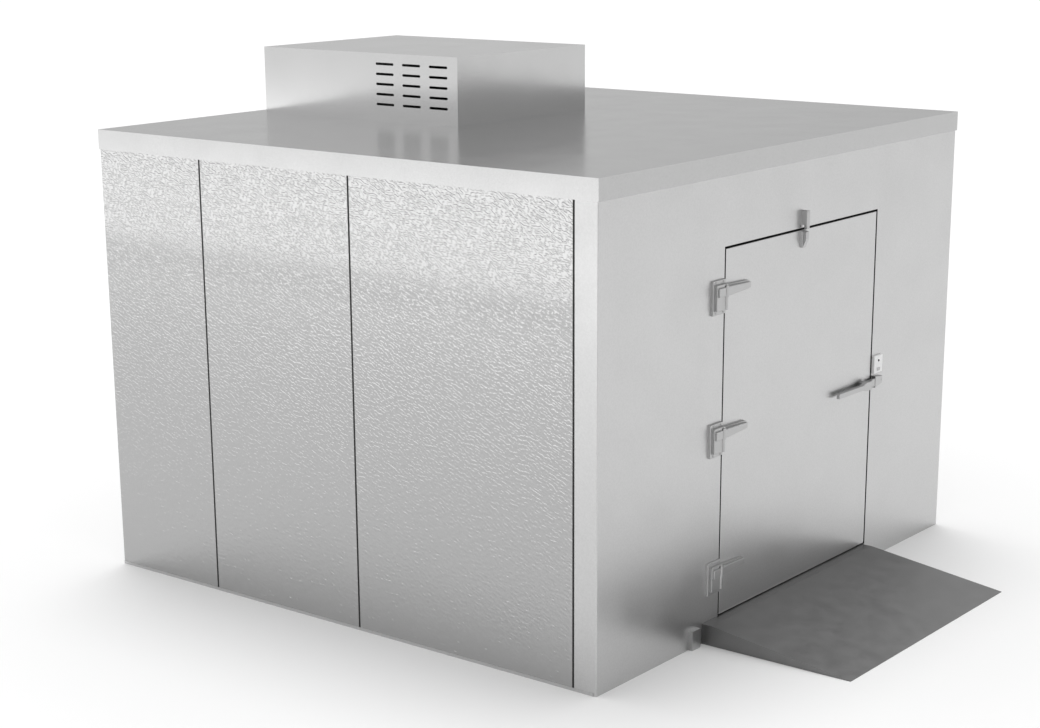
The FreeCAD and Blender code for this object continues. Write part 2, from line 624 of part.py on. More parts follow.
def latch_strike():
    """Wedge-shaped strike on the frame, lower and thinner towards its outer end."""
    strike = new_body("LatchStrike")
    plan = sketch_on(strike, "XY_Plane", "StrikePlan")
    near, far = "door_right + strike_edge", "door_right + strike_edge + strike_wide"
    outline(plan, [(near, FRONT), (near, f"{FRONT} - strike_thick"), (far, f"{FRONT} - strike_end_thick"),
                   (far, FRONT)])
    pad(strike, plan, "strike_high", "StrikePad", both=True)
    taper = sketch_on(strike, "XZ_Plane", "StrikeTaper", f"-({FRONT})")
    for sign in ("", "-"):
        outline(taper, [(near, f"{sign}strike_high / 2"), (far, f"{sign}strike_high / 2"),
                        (far, f"{sign}strike_end_high / 2")])
    made = pocket(strike, taper, "4 * strike_thick", "StrikeTaperCut", both=True)
    chamfer(strike, made, front_rim(made.Shape), "edge_soft", "StrikeSoft")
    stand_at(strike, "0", "0", "handle_height")
    keep(strike, "latch_strike")


def inside_release():
    """Round knob inside the room that opens the latch."""
    release = new_body("InsideRelease")
    rose = sketch_on(release, "XZ_Plane", "ReleaseRound")
    circle(rose, "0", "0", "release_round")
    knob = pad(release, rose, "release_long", "ReleasePad", back=True)
    end = size_of("release_long")
    rim = edges_in(knob.Shape, lambda p: abs(p.y - end) < TINY)
    fillet(release, knob, rim, "release_soft", "ReleaseRounded")
    stand_at(release, f"{LATCH_PIN[0]} - release_round / 2", f"{FRONT} + leaf_thick", "handle_height")
    keep(release, "inside_release")


def closer():
    """Snap closer: a hook on the wall above the doorway, and its plate and nose on the leaf."""
    hook = new_body("CloserHook")
    side = sketch_on(hook, "YZ_Plane", "HookSide", f"{CLOSER} - hook_wide / 2")
    foot = f"({DOOR_HEAD} + hook_lift)"
    lip = f"{FRONT} - hook_thick + hook_lip"
    out = f"{FRONT} - hook_thick"
    outline(side, [(FRONT, foot), (FRONT, f"{foot} + hook_high"), (out, f"{foot} + hook_high"),
                   (out, f"{DOOR_HEAD} - hook_reach"), (lip, f"{DOOR_HEAD} - hook_reach"), (lip, foot)])
    made = pad(hook, side, "hook_wide", "HookPad")
    chamfer(hook, made, front_rim(made.Shape), "edge_soft", "HookSoft")
    keep(hook, "closer_hook")

    body = new_body("CloserBody")
    top = f"({LEAF_TOP} - leaf_edge - closer_drop)"
    low = f"({top} - closer_high)"
    plate = sketch_on(body, "XZ_Plane", "CloserPlate", f"-({FRONT})")
    outline(plate, [(f"{CLOSER} - closer_foot_wide / 2", low), (f"{CLOSER} + closer_foot_wide / 2", low),
                    (f"{CLOSER} + closer_wide / 2", top), (f"{CLOSER} - closer_wide / 2", top)])
    made = pad(body, plate, "closer_plate", "CloserPlatePad")
    level = size_of(low)
    middle = size_of(CLOSER)
    corners = edges_in(made.Shape, lambda p: abs(p.z - level) < TINY and p.x > middle,
                       lambda p: abs(p.z - level) < TINY and p.x < middle)
    made = fillet(body, made, corners, "closer_round", "CloserRound")
    chamfer(body, made, front_rim(made.Shape), "edge_soft", "CloserPlateSoft")
    nose = sketch_on(body, "YZ_Plane", "CloserNose", f"{CLOSER} - hook_wide / 2")
    outline(nose, [(FRONT, f"{top} - nose_edge"), (f"{FRONT} - closer_thick", f"{top} - nose_edge"),
                   (f"{FRONT} - closer_thick", f"{top} - closer_high / 2"),
                   (f"{FRONT} - closer_plate", f"{low} + nose_edge"), (FRONT, f"{low} + nose_edge")])
    made = pad(body, nose, "hook_wide", "CloserNosePad")
    chamfer(body, made, front_rim(made.Shape), "edge_soft", "CloserNoseSoft")
    keep(body, "closer_body")


def switch():
    """Light switch on the wall beside the door, with a raised rocker plate."""
    body = new_body("LightSwitch")
    face = sketch_on(body, "XZ_Plane", "SwitchOutline", f"-({FRONT})")
    centre = "(handle_height + switch_rise)"
    rectangle(face, (SWITCH_LEFT, f"{centre} - switch_high / 2"),
              (f"{SWITCH_LEFT} + switch_wide", f"{centre} + switch_high / 2"))
    box = pad(body, face, "switch_thick", "SwitchPad")
    chamfer(body, box, front_rim(box.Shape), "switch_soft", "SwitchBevel")
    keep(body, "light_switch")


def slot_outline(sketch, across, up):
    """A level slot with round ends, bound to the slot's length and height."""
    middle, level = size_of(across), size_of(up)
    half, round_end = size_of("(slot_long - slot_high) / 2"), size_of("slot_high / 2")
    first = sketch.GeometryCount
    for sign in (-1, 1):
        start = FreeCAD.Vector(middle + sign * half, level + sign * round_end, 0)
        end = FreeCAD.Vector(middle - sign * half, level + sign * round_end, 0)
        sketch.addGeometry(Part.LineSegment(start, end), False)
    for sign, start in ((1, -math.pi / 2), (-1, math.pi / 2)):
        rim = Part.Circle(FreeCAD.Vector(middle + sign * half, level, 0), FreeCAD.Vector(0, 0, 1), round_end)
        sketch.addGeometry(Part.ArcOfCircle(rim, start, start + math.pi), False)
    low, high, arc_right, arc_left = first, first + 1, first + 2, first + 3
    rule = Sketcher.Constraint
    sketch.addConstraint([rule("Tangent", low, 2, arc_right, 1), rule("Tangent", arc_right, 2, high, 1),
                          rule("Tangent", high, 2, arc_left, 1), rule("Tangent", arc_left, 2, low, 1),
                          rule("Horizontal", low)])
    fix_point(sketch, arc_left, 3, f"{across} - (slot_long - slot_high) / 2", up)
    wide = sketch.addConstraint(rule("DistanceX", low, 1, low, 2, 2 * half))
    sketch.setExpression(f"Constraints[{wide}]", bind("slot_long - slot_high"))
    tall = sketch.addConstraint(rule("Radius", arc_right, round_end))
    sketch.setExpression(f"Constraints[{tall}]", bind("slot_high / 2"))


def cooling_unit():
    """Sheet-steel casing of the cooling unit, open on the roof cover, with louvre slots in one side."""
    right = "(unit_left + unit_wide)"
    along = (UNIT_FRONT, UNIT_REAR)
    high = ("room_height", "room_height + unit_high - unit_sheet")
    body = new_body("UnitLouvred")
    face = sketch_on(body, "YZ_Plane", "LouvredOutline", "unit_left")
    rectangle(face, (UNIT_FRONT, high[0]), (UNIT_REAR, high[1]))
    pad(body, face, "unit_sheet", "LouvredPad")
    slots = sketch_on(body, "YZ_Plane", "Slot", "unit_left")
    slot_outline(slots, f"{UNIT_FRONT} + slot_first", "room_height + slot_low")
    first = pocket(body, slots, "unit_sheet", "SlotCut", back=True)
    grid = body.newObject("PartDesign::MultiTransform", "SlotGrid")
    row = body.newObject("PartDesign::LinearPattern", "SlotRow")
    row.Direction = (slots, ["H_Axis"])
    row.Occurrences = SLOT_COLUMNS
    row.setExpression("Length", bind(f"{SLOT_COLUMNS - 1} * slot_step"))
    column = body.newObject("PartDesign::LinearPattern", "SlotColumn")
    column.Direction = (slots, ["V_Axis"])
    column.Occurrences = SLOT_ROWS
    column.setExpression("Length", bind(f"{SLOT_ROWS - 1} * slot_rise"))
    grid.Originals = [first]
    grid.Transformations = [row, column]
    body.Tip = grid
    keep(body, "unit_louvred_side")
    keep(slab("UnitRight", (f"{right} - unit_sheet", right), along, high), "unit_right_side")
    between = ("unit_left + unit_sheet", f"{right} - unit_sheet")
    keep(slab("UnitFront", between, (UNIT_FRONT, f"{UNIT_FRONT} + unit_sheet"), high), "unit_front_side")
    keep(slab("UnitRear", between, (f"{UNIT_REAR} - unit_sheet", UNIT_REAR), high), "unit_rear_side")
    keep(slab("UnitLid", ("unit_left", right), along, (high[1], "room_height + unit_high")), "unit_lid")


def ramp():
    """Ramp with a level landing at the threshold, and the bracket on the wall's foot beside it."""
    body = new_body("Ramp")
    side = sketch_on(body, "YZ_Plane", "RampSide", RAMP_LEFT)
    back = f"({FRONT} - ramp_seat)"
    toe = f"({FRONT} - ramp_long)"
    outline(side, [(back, "0"), (back, "floor_thick"), (f"{back} - ramp_landing", "floor_thick"),
                   (toe, "ramp_toe"), (toe, "0")])
    pad(body, side, f"{RAMP_RIGHT} - {RAMP_LEFT}", "RampPad")
    keep(body, "ramp")
    right = f"({RAMP_LEFT} - bracket_away)"
    keep(slab("FootBracket", (f"{right} - bracket_wide", right), (f"{FRONT} - bracket_deep", FRONT),
              ("0", "bracket_high")), "foot_bracket")


floor()
side_walls()
rear_wall()
front_wall()
base_trim()
roof()
door_stops()
door_leaf()
for place in ("top", "middle", "bottom"):
    hinge(place)
latch_body()
latch_lever()
latch_strike()
inside_release()
closer()
switch()
cooling_unit()
ramp()
doc.recompute()

for thing in doc.Objects:
    if "Invalid" in thing.State or "Error" in thing.State:
        raise RuntimeError(f"{thing.Name} failed: {thing.State}")

os.makedirs("parts", exist_ok=True)
for part in parts:
    if part.Shape.isNull() or not part.Shape.isValid():
        raise RuntimeError(f"{part.Label} has no valid shape")
    part.Shape.exportStep(f"parts/{part.Label}.step")
    box = part.Shape.BoundBox
    print(f"{part.Label}: {len(part.Shape.Solids)} solid(s), {part.Shape.Volume / 1e6:.3f} litres, "
          f"X {box.XMin:.1f} to {box.XMax:.1f}, Y {box.YMin:.1f} to {box.YMax:.1f}, "
          f"Z {box.ZMin:.1f} to {box.ZMax:.1f}")
print(len(parts), "sub-parts")
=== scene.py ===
"""Walk-in cold room: finishes, small pieces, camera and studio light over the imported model."""
import json
import math

import bmesh
import bpy
from bpy.props import FloatProperty, FloatVectorProperty, PointerProperty
from bpy.types import Operator, Panel, PropertyGroup
from mathutils import Euler, Matrix, Vector


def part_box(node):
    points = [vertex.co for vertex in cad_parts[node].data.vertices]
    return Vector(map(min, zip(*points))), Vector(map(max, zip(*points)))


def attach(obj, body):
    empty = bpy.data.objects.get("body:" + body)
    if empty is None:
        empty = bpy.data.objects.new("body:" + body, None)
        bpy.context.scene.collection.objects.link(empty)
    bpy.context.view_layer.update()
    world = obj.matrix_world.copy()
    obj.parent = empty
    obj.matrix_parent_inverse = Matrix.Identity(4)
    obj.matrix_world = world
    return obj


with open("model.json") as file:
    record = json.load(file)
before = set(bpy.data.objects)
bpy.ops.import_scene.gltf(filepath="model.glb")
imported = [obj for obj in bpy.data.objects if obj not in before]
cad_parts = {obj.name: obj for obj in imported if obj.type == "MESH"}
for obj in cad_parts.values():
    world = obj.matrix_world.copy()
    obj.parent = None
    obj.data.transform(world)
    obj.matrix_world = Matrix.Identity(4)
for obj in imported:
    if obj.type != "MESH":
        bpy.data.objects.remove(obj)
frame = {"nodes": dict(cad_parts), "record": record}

bl_info = {
    "name": "Walk-in cold room",
    "version": (1, 0, 0),
    "blender": (4, 2, 0),
    "location": "View3D > Sidebar > Cold room",
    "description": "Finishes and small pieces for a walk-in cold room with a roof cooling unit",
    "category": "Object",
}

MM = 0.001
# The hinge plates' thickness, and how far their screws lie in from the sides and from the ends
PLATE_THICK = 13.0 * MM
PLATE_SCREW_IN = 24.0 * MM
PLATE_SCREW_DOWN = 10.0 * MM
STRIKE_SCREW_IN = 12.0 * MM
# The strike's face slopes: at its screw it stands out by this share of its depth
STRIKE_SLOPE = 0.73
GASKET_DEEP = 8.0 * MM
# How far the black strips of painted shade in the door gap stop short of the leaf's back
SHADE_LINER_SHORT = 4.0 * MM
ROCKER_TILT = 5.0
# Heights on the switch plate, as shares of it
ROCKER_PLACE = 0.21
PILOT_PLACE = 0.71
BRACKET_SCREW_PLACE = 0.3


def linear(code):
    """An sRGB hex colour as linear red, green and blue."""
    parts = [int(code[i:i + 2], 16) / 255 for i in (1, 3, 5)]
    return tuple(c / 12.92 if c <= 0.04045 else ((c + 0.055) / 1.055) ** 2.4 for c in parts)


# Values that a user may change

def length(name, text, mm):
    """A length setting, given in millimetres and kept in metres."""
    return FloatProperty(name=name, description=text, default=mm * MM, min=0.0, unit="LENGTH")


def colour(name, text, code):
    """A colour setting, given as a hex code."""
    return FloatVectorProperty(name=name, description=text, default=linear(code), size=3,
                               min=0.0, max=1.0, subtype="COLOR")


def share(name, text, value):
    """A setting between 0 and 1."""
    return FloatProperty(name=name, description=text, default=value, min=0.0, max=1.0, subtype="FACTOR")


class ColdRoomSizes(PropertyGroup):
    """Sizes of the small pieces and of the patterns in the finishes."""
    gasket_back: length("Gasket set-back", "How far a joint's gasket lies behind the wall's face", 0.5)
    gasket_wide: length("Gasket width", "Width of a joint's gasket, the same as its groove", 12.0)
    # The door gap's liners are black strips of painted shade
    shade_liner_thick: length("Liner thickness", "Thickness of the rubber that lines the door's gap", 2.0)
    shade_liner_back: length("Liner set-back", "How far the door gap's liners lie behind the front face", 0.6)
    sweep_drop: length("Sweep drop", "How far the door's sweep hangs below the leaf", 6.0)
    sweep_deep: length("Sweep depth", "Depth of the door's sweep, front to back", 30.0)
    screw_across: length("Screw head", "Diameter of the heads of the fixing screws", 9.0)
    screw_high: length("Screw height", "Height of the heads of the fixing screws", 2.4)
    rocker_wide: length("Rocker width", "Width of the light switch's rocker", 34.0)
    rocker_high: length("Rocker height", "Height of the light switch's rocker", 18.0)
    pilot_across: length("Pilot lamp", "Diameter of the light switch's pilot lamp", 13.0)
    dimple_long: length("Dimple length", "Length of one dimple of the embossed sheet", 28.0)
    dimple_wide: length("Dimple width", "Width of one dimple of the embossed sheet", 12.0)
    dimple_deep: length("Dimple depth", "Height of the embossed sheet's relief", 0.56)
    dimple_slant: FloatProperty(name="Dimple slant", description="Turn of the dimples from level",
                                default=math.radians(22), subtype="ANGLE")


class ColdRoomLooks(PropertyGroup):
    """Colours and gloss of the finishes."""
    wall: colour("Wall steel", "Tint of the reflections in the smooth wall sheets", "#c8c8c8")
    embossed: colour("Embossed steel", "Tint of the reflections in the embossed sheets", "#b1b1b1")
    roof: colour("Roof steel", "Tint of the reflections in the roof cover", "#b7b7b7")
    casing: colour("Casing steel", "Tint of the reflections in the cooling unit", "#c2c2c2")
    ramp: colour("Ramp steel", "Tint of the worn, matt ramp", "#848484")
    fitting: colour("Fittings", "Tint of the hinges and the latch", "#bababa")
    plastic: colour("Frame plastic", "Colour of the door's inner frame", "#c8c8c8")
    switch: colour("Switch plastic", "Colour of the light switch", "#f8f8f8")
    resin: colour("Floor resin", "Colour of the inside floor", "#7a7a78")
    foam: colour("Ceiling coat", "Colour of the ceiling inside", "#dcdcda")
    # The rubber black also paints the shade in the door gap, on its liners
    rubber: colour("Rubber", "Colour of the gaskets and the seal", "#080808")
    floor: colour("Studio floor", "Colour of the floor that the room stands on", "#f6f6f6")
    wall_blur: share("Wall blur", "Roughness of the smooth wall sheets", 0.32)
    roof_blur: share("Roof blur", "Roughness of the roof cover", 0.20)
    casing_blur: share("Casing blur", "Roughness of the cooling unit's casing", 0.17)
    embossed_blur: share("Embossed blur", "Roughness of the embossed sheets", 0.09)


# Materials

def add(tree, kind, inputs=None, **settings):
    """Adds a node; inputs hold a value or the output socket to link, settings are its own options."""
    node = tree.nodes.new(kind)
    for name, value in settings.items():
        setattr(node, name, value)
    for name, value in (inputs or {}).items():
        if isinstance(value, bpy.types.NodeSocket):
            tree.links.new(value, node.inputs[name])
        else:
            node.inputs[name].default_value = value
    return node


def new_finish(name, tint, roughness, metallic):
    """An empty material with its shader, ready for the nodes that vary it."""
    known = bpy.data.materials.get(name)
    if known:
        bpy.data.materials.remove(known)
    material = bpy.data.materials.new(name)
    material.use_nodes = True
    tree = material.node_tree
    tree.nodes.clear()
    inputs = {"Base Color": (*tint, 1.0), "Roughness": roughness, "Metallic": metallic}
    shader = add(tree, "ShaderNodeBsdfPrincipled", inputs)
    add(tree, "ShaderNodeOutputMaterial", {"Surface": shader.outputs["BSDF"]})
    return material, tree, shader


def cloud(tree, place, size, detail=2.0):
    """A noise over the object, its lumps size metres across; the result is its height socket."""
    inputs = {"Vector": place, "Scale": 1.0 / size, "Detail": detail, "Roughness": 0.5}
    return add(tree, "ShaderNodeTexNoise", inputs).outputs["Fac"]


def spread(tree, value, low, high):
    """Maps a noise's usual range to low..high."""
    inputs = {"Value": value, "From Min": 0.3, "From Max": 0.7, "To Min": low, "To Max": high}
    return add(tree, "ShaderNodeMapRange", inputs).outputs["Result"]


def relief(tree, shader, height, deep):
    """Raises the height pattern by deep metres."""
    bump = add(tree, "ShaderNodeBump", {"Height": height, "Distance": deep, "Strength": 1.0})
    tree.links.new(bump.outputs["Normal"], shader.inputs["Normal"])


def embossed_steel(sizes, looks):
    """Stucco-embossed sheet: slanting worms break the reflections into short light and dark dashes."""
    name = "Stucco-embossed steel sheet"
    material, tree, shader = new_finish(name, looks.embossed, looks.embossed_blur, 1.0)
    place = add(tree, "ShaderNodeTexCoord").outputs["Object"]
    parts = add(tree, "ShaderNodeSeparateXYZ", {"Vector": place})
    # X + Y runs along the side walls and the rear wall alike
    inputs = {0: parts.outputs["X"], 1: parts.outputs["Y"]}
    along = add(tree, "ShaderNodeMath", inputs, operation="ADD")
    flat = add(tree, "ShaderNodeCombineXYZ", {"X": along.outputs[0], "Y": parts.outputs["Z"]})
    inputs = {"Vector": flat.outputs[0], "Rotation": (0.0, 0.0, sizes.dimple_slant),
              "Scale": (sizes.dimple_long, sizes.dimple_wide, 1.0)}
    slanted = add(tree, "ShaderNodeMapping", inputs, vector_type="TEXTURE")
    inputs = {"Vector": slanted.outputs[0], "Scale": 1.0, "Detail": 0.6, "Roughness": 0.4}
    dimples = add(tree, "ShaderNodeTexNoise", inputs, noise_dimensions="2D")
    # Cut off at both ends, so that the raised worms and the ground between them are flat. They are
    # drawn as coarse as the photograph shows them
    inputs = {"Value": dimples.outputs["Fac"], "From Min": 0.37, "From Max": 0.65}
    worms = add(tree, "ShaderNodeMapRange", inputs, interpolation_type="SMOOTHSTEP")
    relief(tree, shader, worms.outputs["Result"], sizes.dimple_deep)
    return material


def sheet_steel(name, tint, blur):
    """Smooth sheet: soft reflections, a little duller in places, with a faint grain."""
    material, tree, shader = new_finish(name, tint, blur, 1.0)
    place = add(tree, "ShaderNodeTexCoord").outputs["Object"]
    smear = spread(tree, cloud(tree, place, 0.28, 4.0), blur * 0.9, blur * 1.1)
    tree.links.new(smear, shader.inputs["Roughness"])
    # Real grain is finer than a picture's dot, so it is drawn as lumps of 9 mm
    shade = spread(tree, cloud(tree, place, 9.0 * MM, 1.0), 0.97, 1.03)
    inputs = {0: (*tint,), "Scale": shade}
    grained = add(tree, "ShaderNodeVectorMath", inputs, operation="SCALE")
    tree.links.new(grained.outputs[0], shader.inputs["Base Color"])
    return material


def matt_steel(name, tint, blur):
    """Worn, matt sheet: dull broad reflections with faint scuffs."""
    material, tree, shader = new_finish(name, tint, blur, 1.0)
    place = add(tree, "ShaderNodeTexCoord").outputs["Object"]
    scuff = cloud(tree, place, 0.09, 5.0)
    tree.links.new(spread(tree, scuff, blur * 0.9, blur * 1.1), shader.inputs["Roughness"])
    shade = spread(tree, scuff, 0.93, 1.07)
    inputs = {0: (*tint,), "Scale": shade}
    tinted = add(tree, "ShaderNodeVectorMath", inputs, operation="SCALE")
    tree.links.new(tinted.outputs[0], shader.inputs["Base Color"])
    relief(tree, shader, cloud(tree, place, 7.0 * MM, 2.0), 0.25 * MM)
    return material


def cast_metal(tint):
    """Cast and satin-finished metal: a grain of small pits keeps its highlights short."""
    material, tree, shader = new_finish("Satin cast fittings", tint, 0.36, 1.0)
    place = add(tree, "ShaderNodeTexCoord").outputs["Object"]
    grain = cloud(tree, place, 4.0 * MM, 3.0)
    tree.links.new(spread(tree, grain, 0.3, 0.44), shader.inputs["Roughness"])
    relief(tree, shader, grain, 0.12 * MM)
    return material


def moulded(name, tint, blur, lump, deep):
    """Moulded or coated surface: an even colour with a fine orange-peel skin."""
    material, tree, shader = new_finish(name, tint, blur, 0.0)
    place = add(tree, "ShaderNodeTexCoord").outputs["Object"]
    skin = cloud(tree, place, lump, 2.0)
    tree.links.new(spread(tree, skin, blur * 0.85, blur * 1.15), shader.inputs["Roughness"])
    relief(tree, shader, skin, deep)
    return material


def make_finishes(sizes, looks):
    """Every material slot's finish, by the slot's name in the record."""
    return {
        "embossed_steel": embossed_steel(sizes, looks),
        "smooth_steel": sheet_steel("Smooth steel sheet", looks.wall, looks.wall_blur),
        "roof_steel": sheet_steel("Roof steel sheet", looks.roof, looks.roof_blur),
        "casing_steel": sheet_steel("Casing steel sheet", looks.casing, looks.casing_blur),
        "trim_steel": sheet_steel("Trim steel", looks.casing, 0.36),
        "ramp_steel": matt_steel("Worn ramp steel", looks.ramp, 0.48),
        "cast_fittings": cast_metal(looks.fitting),
        "frame_plastic": moulded("Moulded frame plastic", looks.plastic, 0.5, 5.0 * MM, 0.1 * MM),
        "switch_plastic": moulded("Moulded switch plastic", looks.switch, 0.4, 4.0 * MM, 0.05 * MM),
        "floor_resin": moulded("Resin floor with grip", looks.resin, 0.55, 6.0 * MM, 0.6 * MM),
        "panel_foam": moulded("Coated ceiling panel", looks.foam, 0.5, 9.0 * MM, 0.1 * MM),
        "seal_rubber": moulded("Black rubber", looks.rubber, 0.6, 5.0 * MM, 0.1 * MM),
    }


def finish_of(slot):
    """The finish made for a slot, found by the CAD node that wears it."""
    for part in frame["record"]["subparts"]:
        if part["material_slot"] == slot:
            node = frame["nodes"][part["node"]]
            if node.data.materials and node.data.materials[0]:
                return node.data.materials[0]
    raise RuntimeError(f"run the finishes first: no material for {slot}")


# Shapes of the small pieces

def bar(bm, low, high, rounding, segments=2, turn=None):
    """Adds a bar between two corners, its edges rounded, turned about its middle if asked."""
    low, high = Vector(low), Vector(high)
    made = bmesh.ops.create_cube(bm, size=1.0)["verts"]
    bmesh.ops.scale(bm, vec=high - low, verts=made)
    edges = list({edge for vert in made for edge in vert.link_edges})
    done = bmesh.ops.bevel(bm, geom=edges, offset=rounding, offset_type="OFFSET", affect="EDGES",
                           segments=segments, profile=0.5, material=-1)
    verts = list({vert for face in done["faces"] for vert in face.verts})
    if turn:
        bmesh.ops.rotate(bm, cent=(0, 0, 0), matrix=turn, verts=verts)
    bmesh.ops.translate(bm, vec=(low + high) / 2, verts=verts)


def arch(bm, low, high, thick, rounding=0.3 * MM):
    """Adds three strips that line the sides and the head between two corners."""
    (x0, y0, z0), (x1, y1, z1) = low, high
    bar(bm, (x0, y0, z0), (x0 + thick, y1, z1), rounding)
    bar(bm, (x1 - thick, y0, z0), (x1, y1, z1), rounding)
    bar(bm, (x0 + thick, y0, z1 - thick), (x1 - thick, y1, z1), rounding)


def button(bm, middle, across, high, recess):
    """Adds a round head that stands out towards -Y, rounded at its rim, with a recess if asked."""
    facing = Matrix.Translation(Vector(middle)) @ Euler((math.radians(90), 0, 0)).to_matrix().to_4x4()
    made = bmesh.ops.create_cone(bm, cap_ends=True, segments=20, radius1=across / 2,
                                 radius2=across / 2, depth=high, matrix=facing)["verts"]
    outer = middle[1] - high / 2
    rim = [vert for vert in made if abs(vert.co.y - outer) < 1e-6]
    edges = [edge for edge in {edge for vert in rim for edge in vert.link_edges}
             if all(vert in rim for vert in edge.verts)]
    bmesh.ops.bevel(bm, geom=edges, offset=high * 0.45, offset_type="OFFSET", affect="EDGES",
                    segments=3, profile=0.5, material=-1)
    if recess:
        tops = [face for face in bm.faces if len(face.verts) == 20
                and abs(face.calc_center_median().y - outer) < 1e-6
                and (face.calc_center_median() - Vector((middle[0], outer, middle[2]))).length < across]
        bmesh.ops.inset_region(bm, faces=tops, thickness=across * 0.16, use_even_offset=True)
        inner = min(tops, key=lambda face: face.calc_area())
        bmesh.ops.translate(bm, vec=(0, high * 0.5, 0), verts=inner.verts)


def finish_piece(name, bm, body, slot):
    """Makes the shape in bm an object that rides on a CAD body and wears a slot's finish."""
    known = bpy.data.objects.get(name)
    if known:
        bpy.data.objects.remove(known)
    bmesh.ops.recalc_face_normals(bm, faces=bm.faces)
    for face in bm.faces:
        face.smooth = True
    mesh = bpy.data.meshes.new(name)
    bm.to_mesh(mesh)
    bm.free()
    if not mesh.polygons:
        raise RuntimeError(f"{name} came out empty")
    mesh.set_sharp_from_angle(angle=math.radians(35))
    mesh.materials.append(finish_of(slot))
    piece = bpy.data.objects.new(name, mesh)
    bpy.context.scene.collection.objects.link(piece)
    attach(piece, body)
    return piece


# One operator for each piece or group of like pieces

class COLDROOM_OT_finishes(Operator):
    """Gives every part of the room its finish"""
    bl_idname = "coldroom.finishes"
    bl_label = "Finishes"

    def execute(self, context):
        scene = context.scene
        finishes = make_finishes(scene.cold_room_sizes, scene.cold_room_looks)
        for part in frame["record"]["subparts"]:
            node = frame["nodes"][part["node"]]
            if part["material_slot"] not in finishes:
                raise RuntimeError(f"no finish is made for {part['material_slot']}")
            node.data.materials.clear()
            node.data.materials.append(finishes[part["material_slot"]])
        return {"FINISHED"}


class COLDROOM_OT_joint_gaskets(Operator):
    """Lays a black gasket in each groove between the wall panels"""
    bl_idname = "coldroom.joint_gaskets"
    bl_label = "Joint gaskets"

    def execute(self, context):
        sizes = context.scene.cold_room_sizes
        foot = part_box("base_trim")[1].z + 1.0 * MM
        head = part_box("ceiling_panels")[0].z - 1.0 * MM
        edge = 0.6 * MM
        bm = bmesh.new()
        for side, sign in (("left", -1), ("right", 1)):
            walls = [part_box(f"{side}_wall_{part}_panel") for part in ("front", "middle", "rear")]
            outer = max(abs(walls[0][0].x), abs(walls[0][1].x)) - sizes.gasket_back
            starts = [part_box(f"corner_post_{side}")[1].y] + [wall[1].y for wall in walls[:2]]
            for start in starts:
                ends = sorted((sign * outer, sign * (outer - GASKET_DEEP)))
                bar(bm, (ends[0], start, foot), (ends[1], start + sizes.gasket_wide, head), edge)
        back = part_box("rear_wall_panel_1")[1].y - sizes.gasket_back
        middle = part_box("rear_wall_panel_2")
        for start in (middle[0].x, middle[1].x - sizes.gasket_wide):
            bar(bm, (start, back - GASKET_DEEP, foot), (start + sizes.gasket_wide, back, head), edge)
        finish_piece("joint_gaskets", bm, "room", "seal_rubber")
        return {"FINISHED"}


class COLDROOM_OT_gap_shade_liners(Operator):
    """Lines the door gap's sides and head with thin black strips of the rubber finish, on the door and on
    the doorway: painted shade that keeps the gap dark
    """
    bl_idname = "coldroom.gap_liners"
    bl_label = "Door gap liners"

    def execute(self, context):
        sizes = context.scene.cold_room_sizes
        thick = sizes.shade_liner_thick
        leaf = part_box("door_leaf")
        front = leaf[0].y + sizes.shade_liner_back
        back = leaf[1].y - SHADE_LINER_SHORT
        bm = bmesh.new()
        # Black strips of painted shade on the leaf's sides and head
        arch(bm, (leaf[0].x - thick, front, leaf[0].z), (leaf[1].x + thick, back, leaf[1].z + thick), thick)
        finish_piece("leaf_edge_shade_liner", bm, "door", "seal_rubber")
        bm = bmesh.new()
        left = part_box("front_wall_left")[1].x
        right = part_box("front_wall_right")[0].x
        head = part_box("front_wall_header")[0].z
        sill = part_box("threshold")[1].z
        # Black strips of painted shade on the doorway's sides and head
        arch(bm, (left, front, sill), (right, back, head), thick)
        finish_piece("doorway_shade_liner", bm, "room", "seal_rubber")
        return {"FINISHED"}


class COLDROOM_OT_door_sweep(Operator):
    """Hangs the sweep under the door leaf, which narrows the gap over the threshold"""
    bl_idname = "coldroom.door_sweep"
    bl_label = "Door sweep"

    def execute(self, context):
        sizes = context.scene.cold_room_sizes
        low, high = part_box("door_leaf")
        bm = bmesh.new()
        bar(bm, (low.x + 1.0 * MM, low.y + 1.0 * MM, low.z - sizes.sweep_drop),
            (high.x - 1.0 * MM, low.y + sizes.sweep_deep, low.z + 0.5 * MM), 0.8 * MM)
        finish_piece("door_sweep", bm, "door", "smooth_steel")
        return {"FINISHED"}


class COLDROOM_OT_switch_details(Operator):
    """Puts the rocker and the pilot lamp on the light switch"""
    bl_idname = "coldroom.switch_details"
    bl_label = "Switch details"

    def execute(self, context):
        sizes = context.scene.cold_room_sizes
        low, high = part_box("light_switch")
        middle = (low.x + high.x) / 2
        face = low.y
        tilt = Euler((math.radians(ROCKER_TILT), 0, 0)).to_matrix()
        rocker = low.z + ROCKER_PLACE * (high.z - low.z)
        half_wide, half_high = sizes.rocker_wide / 2, sizes.rocker_high / 2
        bm = bmesh.new()
        bar(bm, (middle - half_wide, face - 3.0 * MM, rocker - half_high),
            (middle + half_wide, face + 2.0 * MM, rocker + half_high), 1.0 * MM, 3, tilt)
        finish_piece("switch_rocker", bm, "room", "frame_plastic")
        bm = bmesh.new()
        lamp = low.z + PILOT_PLACE * (high.z - low.z)
        button(bm, (middle, face - 1.5 * MM, lamp), sizes.pilot_across, 4.0 * MM, False)
        finish_piece("switch_pilot_lamp", bm, "room", "seal_rubber")
        return {"FINISHED"}


